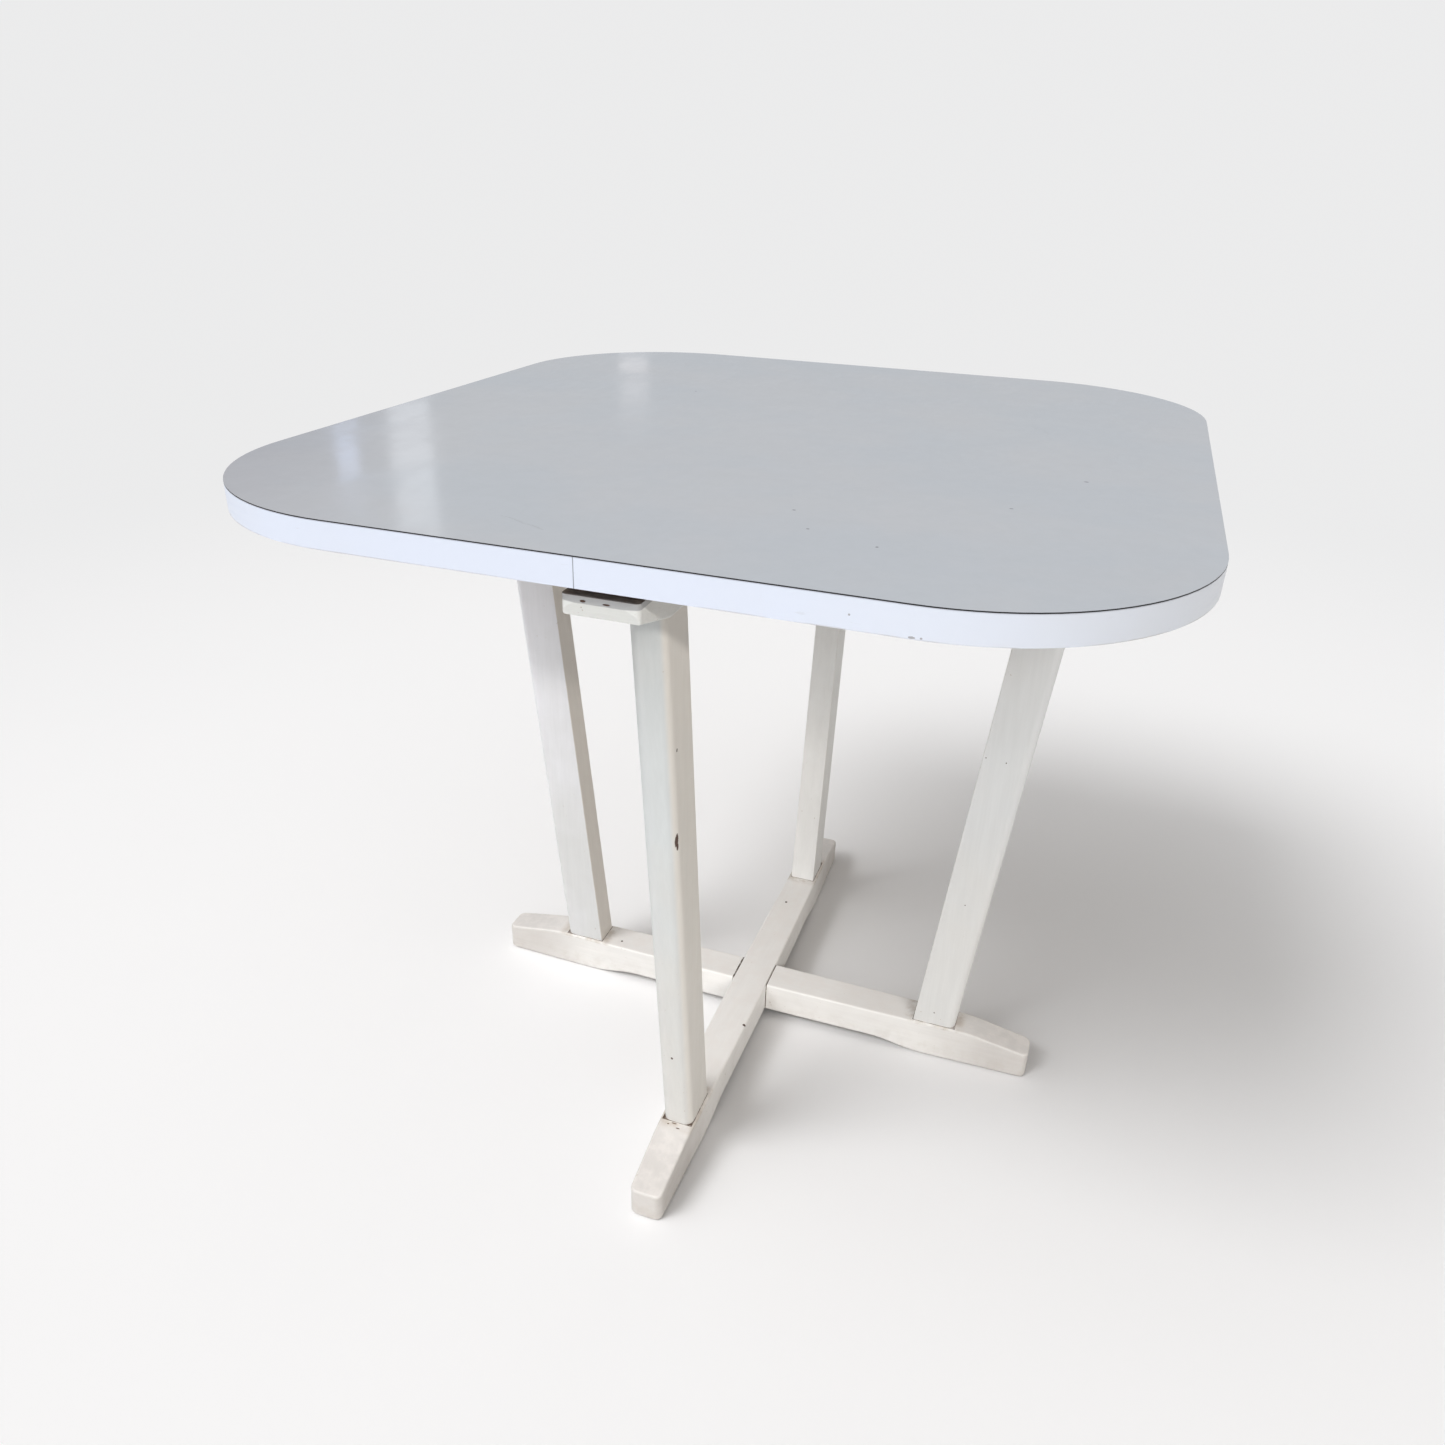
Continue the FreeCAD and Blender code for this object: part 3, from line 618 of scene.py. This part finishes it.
board = {
    "dark": (0.30, 0.20, 0.115),
    "light": (0.56, 0.42, 0.27),
    "dustColor": (0.20, 0.13, 0.075),
    "roughness": (0.75, 0.9),
    "flakeDepth": 0.0004,
    "flakes": 330.0,
    "flatten": (1.0, 1.0, 2.5),  # the flakes lie flat
    "dust": (900.0, 3.0, 0.6),
    "dustFade": (0.5, 0.8, 0.0, 0.5),
    "toneFade": (0.0, 1.0),
}


def chipboard():
    material, tree, shader, place = newMaterial("chipboard_raw")
    inputs = {"Vector": vectorCalc(tree, "MULTIPLY", place, board["flatten"]), "Scale": board["flakes"]}
    flakes = addNode(tree, "ShaderNodeTexVoronoi", inputs)
    tone = split(tree, flakes.outputs["Color"])[0]
    dust = smooth(tree, noise(tree, place, *board["dust"]), *board["dustFade"])
    color = blendColor(tree, tone, board["dark"], board["light"])
    color = cover(tree, color, board["dustColor"], dust)
    feed(tree, shader.inputs["Base Color"], color)
    rough = smooth(tree, tone, *board["toneFade"], *board["roughness"])
    feed(tree, shader.inputs["Roughness"], rough)
    bump(tree, shader, flakes.outputs["Distance"], board["flakeDepth"])
    return material


dress(greyLaminate(), "top_laminate")
dress(edgeBand(), "edge_band_left", "edge_band_right")
dress(backingSheet(), "backing_laminate")
dress(chipboard(), "top_core")
print("top done")


stain = {
    "dark": (0.040, 0.018, 0.011),
    "light": (0.115, 0.055, 0.032),
    "poreColor": (0.016, 0.008, 0.005),
    "wornColor": (0.20, 0.11, 0.07),
    "roughness": (0.54, 0.77),
    "grainDepth": 0.0003,
    "relief": {"grain": 1.0, "pores": -0.4},
    "grain": (340.0, 4.0, 0.65),
    "pores": (1100.0, 2.0, 0.6),
    "squeeze": 0.05,
    "clouds": (30.0, 3.0, 0.6),
    "grainFade": (0.3, 0.7),
    "poreFade": (0.58, 0.7, 0.0, 0.6),
    "wornFade": (0.55, 0.75, 0.0, 0.35),
    "roughFade": (0.2, 0.8),
}


def stainedStrip(name, along):
    material, tree, shader, place = newMaterial(name)
    stretch = drawnOut(along, stain["squeeze"])
    grain = noise(tree, place, *stain["grain"], stretch)
    pores = noise(tree, place, *stain["pores"], stretch)
    cloud = noise(tree, place, *stain["clouds"])
    color = blendColor(tree, smooth(tree, grain, *stain["grainFade"]), stain["dark"], stain["light"])
    color = cover(tree, color, stain["poreColor"], smooth(tree, pores, *stain["poreFade"]))
    color = cover(tree, color, stain["wornColor"], smooth(tree, cloud, *stain["wornFade"]))
    feed(tree, shader.inputs["Base Color"], color)
    rough = smooth(tree, grain, *stain["roughFade"], *stain["roughness"])
    feed(tree, shader.inputs["Roughness"], rough)
    layers = {"grain": grain, "pores": pores}
    bump(tree, shader, stack(tree, layers, stain["relief"]), stain["grainDepth"])
    return material


zinc = {
    "color": (0.50, 0.49, 0.46),
    "tarnished": (0.27, 0.22, 0.17),
    "roughness": (0.34, 0.62),
    "fineDepth": 0.00004,
    "tarnish": (420.0, 4.0, 0.65),
    "fine": (2400.0, 2.0, 0.5),
    "tarnishFade": (0.35, 0.7),
    "roughFade": (0.3, 0.7),
}


def zincScrew():
    material, tree, shader, place = newMaterial("screw_dull_zinc")
    tarnish = noise(tree, place, *zinc["tarnish"])
    dulled = smooth(tree, tarnish, *zinc["tarnishFade"])
    feed(tree, shader.inputs["Base Color"], blendColor(tree, dulled, zinc["color"], zinc["tarnished"]))
    rough = smooth(tree, tarnish, *zinc["roughFade"], *zinc["roughness"])
    feed(tree, shader.inputs["Roughness"], rough)
    shader.inputs["Metallic"].default_value = 1.0
    bump(tree, shader, noise(tree, place, *zinc["fine"]), zinc["fineDepth"])
    return material


stripGrain = {"front": "y", "back": "y", "left": "x", "right": "x"}
for side, along in stripGrain.items():
    dress(stainedStrip("dark_strip_" + side, along), "packer_" + side)
dress(zincScrew(), "foot_screws", "head_screws", "top_screws", "foot_lap_screw", "bearer_lap_screw")
print("strips and screws done")


studio = {
    "floorRadius": 60.0,
    "floorCorners": 96,
    "floorDrop": 0.0004,  # keeps the floor clear of the soles
    "floorColor": (0.98, 0.975, 0.98),
    "floorTone": (0.93, 0.93, 0.94),
    "toneClouds": (1.2, 3.0, 0.5),
    "toneFade": (0.3, 0.7, 0.0, 0.15),
    "floorRoughness": 0.9,
    "floorGloss": 0.1,
    "floorBounce": (0.62, 0.60, 0.575),
    "backdrop": (0.835, 0.835, 0.838),
    "farFade": (0.7, 3.0),
    "ambientFront": (0.80, 0.81, 0.825),
    "ambientBack": (0.30, 0.285, 0.265),
    "ambientFrom": (-0.52, -0.84, 0.10),
    "ambientFade": (-0.50, 0.95),
    "mirrored": (0.52, 0.54, 0.57),
    "mirroredLeft": (0.16, 0.14, 0.19),
    "leftFrom": (-0.78, 0.62, 0.05),
    "leftFade": (0.93, 0.99),
}


def directlySeen(tree, rays):
    return calc(tree, "MAXIMUM", rays["Is Camera Ray"], rays["Is Glossy Ray"])


def paleFloor():
    material, tree, shader, place = newMaterial("pale_floor")
    seen = directlySeen(tree, tree.nodes.new("ShaderNodeLightPath").outputs)
    tone = smooth(tree, noise(tree, place, *studio["toneClouds"]), *studio["toneFade"])
    color = blendColor(tree, tone, studio["floorColor"], studio["floorTone"])
    feed(tree, shader.inputs["Base Color"], blendColor(tree, seen, studio["floorBounce"], color))
    shader.inputs["Roughness"].default_value = studio["floorRoughness"]
    shader.inputs["Specular IOR Level"].default_value = studio["floorGloss"]
    far = smooth(tree, vectorCalc(tree, "LENGTH", place), *studio["farFade"])
    glow = addNode(tree, "ShaderNodeEmission", {"Color": studio["backdrop"], "Strength": 1.0})
    inputs = {0: times(tree, far, seen), 1: shader.outputs[0], 2: glow.outputs[0]}
    mixed = addNode(tree, "ShaderNodeMixShader", inputs).outputs[0]
    tree.links.new(mixed, tree.nodes["Material Output"].inputs["Surface"])
    return material


def softWorld():
    # a soft light from all round, weaker from behind, and a darker room for the gloss to mirror
    world = bpy.data.worlds.new("studio")
    world.use_nodes = True
    tree = world.node_tree
    tree.nodes.clear()
    rays = tree.nodes.new("ShaderNodeLightPath").outputs
    seen = calc(tree, "MAXIMUM", directlySeen(tree, rays), rays["Is Transmission Ray"])
    around = tree.nodes.new("ShaderNodeTexCoord").outputs["Generated"]

    toFront = vectorCalc(tree, "DOT_PRODUCT", around, studio["ambientFrom"])
    frontward = smooth(tree, toFront, *studio["ambientFade"])
    ambient = blendColor(tree, frontward, studio["ambientBack"], studio["ambientFront"])
    toLeft = vectorCalc(tree, "DOT_PRODUCT", around, studio["leftFrom"])
    leftward = smooth(tree, toLeft, *studio["leftFade"])
    mirrored = blendColor(tree, leftward, studio["mirrored"], studio["mirroredLeft"])
    backdrop = blendColor(tree, rays["Is Glossy Ray"], studio["backdrop"], mirrored)

    soft = addNode(tree, "ShaderNodeBackground", {"Color": ambient, "Strength": 1.0}).outputs[0]
    shown = addNode(tree, "ShaderNodeBackground", {"Color": backdrop, "Strength": 1.0}).outputs[0]
    mixed = addNode(tree, "ShaderNodeMixShader", {0: seen, 1: soft, 2: shown}).outputs[0]
    output = tree.nodes.new("ShaderNodeOutputWorld")
    tree.links.new(mixed, output.inputs["Surface"])
    return world


corners = studio["floorCorners"]
radius = studio["floorRadius"]
turns = [math.tau * i / corners for i in range(corners)]
floorMesh = bpy.data.meshes.new("floor")
ring = [(math.cos(turn) * radius, math.sin(turn) * radius, 0.0) for turn in turns]
floorMesh.from_pydata(ring, [], [tuple(range(corners))])
floorMesh.materials.append(paleFloor())
floor = bpy.data.objects.new("floor", floorMesh)
bpy.context.scene.collection.objects.link(floor)
floor.location.z = -studio["floorDrop"]
bpy.context.scene.world = softWorld()


def addLamp(light, place, target):
    lamp = bpy.data.objects.new(light.name, light)
    bpy.context.scene.collection.objects.link(lamp)
    lamp.location = place
    lamp.rotation_euler = (Vector(target) - lamp.location).to_track_quat("-Z", "Y").to_euler()
    return lamp


def areaLamp(name, place, target, size, power, color):
    light = bpy.data.lights.new(name, "AREA")
    light.shape = "RECTANGLE"
    light.size, light.size_y = size
    light.energy = power
    light.color = color
    return addLamp(light, place, target)


def sunLamp(name, towards, power, spread):
    light = bpy.data.lights.new(name, "SUN")
    light.energy = power
    light.angle = math.radians(spread)
    return addLamp(light, towards, (0.0, 0.0, 0.0))


def linkFloor(lamp, state):
    # INCLUDE lights nothing but the floor, EXCLUDE all but the floor
    group = bpy.data.collections.new(lamp.name + "_receivers")
    group.objects.link(floor)
    lamp.light_linking.receiver_collection = group
    group.collection_objects[0].light_linking.link_state = state


suns = {
    "overhead": {"towards": (-0.60, -0.64, 1.0), "power": 1.34, "spread": 26.0},
    "floor_sun": {"towards": (-0.90, -0.75, 1.0), "power": 0.64, "spread": 60.0},
}
strips = {
    "front_strip": {
        "place": (0.4, -8.5, 6.15),
        "target": (0.4, 0.0, 0.35),
        "size": (5.0, 0.5),
        "power": 70.0,
        "color": (0.97, 0.985, 1.0),
    },
    "right_strip": {
        "place": (6.9, -8.5, 6.15),
        "target": (6.9, 0.0, 0.35),
        "size": (6.5, 0.5),
        "power": 590.0,
        "color": (1.0, 0.96, 0.905),
    },
}
# tall panes that only the gloss of the top picks up
paneTarget = (-0.3, -0.2, 0.72)
panes = {
    "narrow": {"place": (-3.42, 3.72, 1.86), "size": (0.11, 0.34), "glow": 0.86, "color": (0.58, 0.70, 1.0)},
    "wide": {"place": (-3.14, 3.88, 1.98), "size": (0.21, 0.86), "glow": 0.60, "color": (0.90, 0.94, 1.0)},
    "faint": {"place": (-2.30, 4.85, 1.56), "size": (0.16, 0.26), "glow": 0.44, "color": (1.0, 0.93, 0.93)},
}

sunLamp("overhead", **suns["overhead"])
for name, strip in strips.items():
    linkFloor(areaLamp(name, **strip), "EXCLUDE")
linkFloor(sunLamp("floor_sun", **suns["floor_sun"]), "INCLUDE")
for name, pane in panes.items():
    wide, tall = pane["size"]
    power = pane["glow"] * math.pi * wide * tall
    lamp = areaLamp("pane_" + name, pane["place"], paneTarget, pane["size"], power, pane["color"])
    lamp.visible_camera = False
    lamp.visible_diffuse = False
print("floor and lamps done")

view = {
    "place": (0.3147, -1.0673, 0.9564),
    "yaw": -18.96,
    "pitch": -26.78,
    "roll": 1.52,
    "lens": 27.68,
    "sensor": 36.0,
}
yaw, pitch, roll = (math.radians(view[key]) for key in ("yaw", "pitch", "roll"))
ahead = Vector((math.sin(yaw) * math.cos(pitch), math.cos(yaw) * math.cos(pitch), math.sin(pitch)))
level = Vector((math.cos(yaw), -math.sin(yaw), 0.0))
above = level.cross(ahead)
right = level * math.cos(roll) + above * math.sin(roll)
upright = above * math.cos(roll) - level * math.sin(roll)

cameraData = bpy.data.cameras.new("camera")
cameraData.lens = view["lens"]
cameraData.sensor_width = view["sensor"]
camera = bpy.data.objects.new("camera", cameraData)
bpy.context.scene.collection.objects.link(camera)
turned = Matrix((right, upright, -ahead)).transposed().to_4x4()
camera.matrix_world = Matrix.Translation(view["place"]) @ turned
bpy.context.scene.camera = camera
bpy.context.scene.view_settings.view_transform = "Standard"
print("camera done")
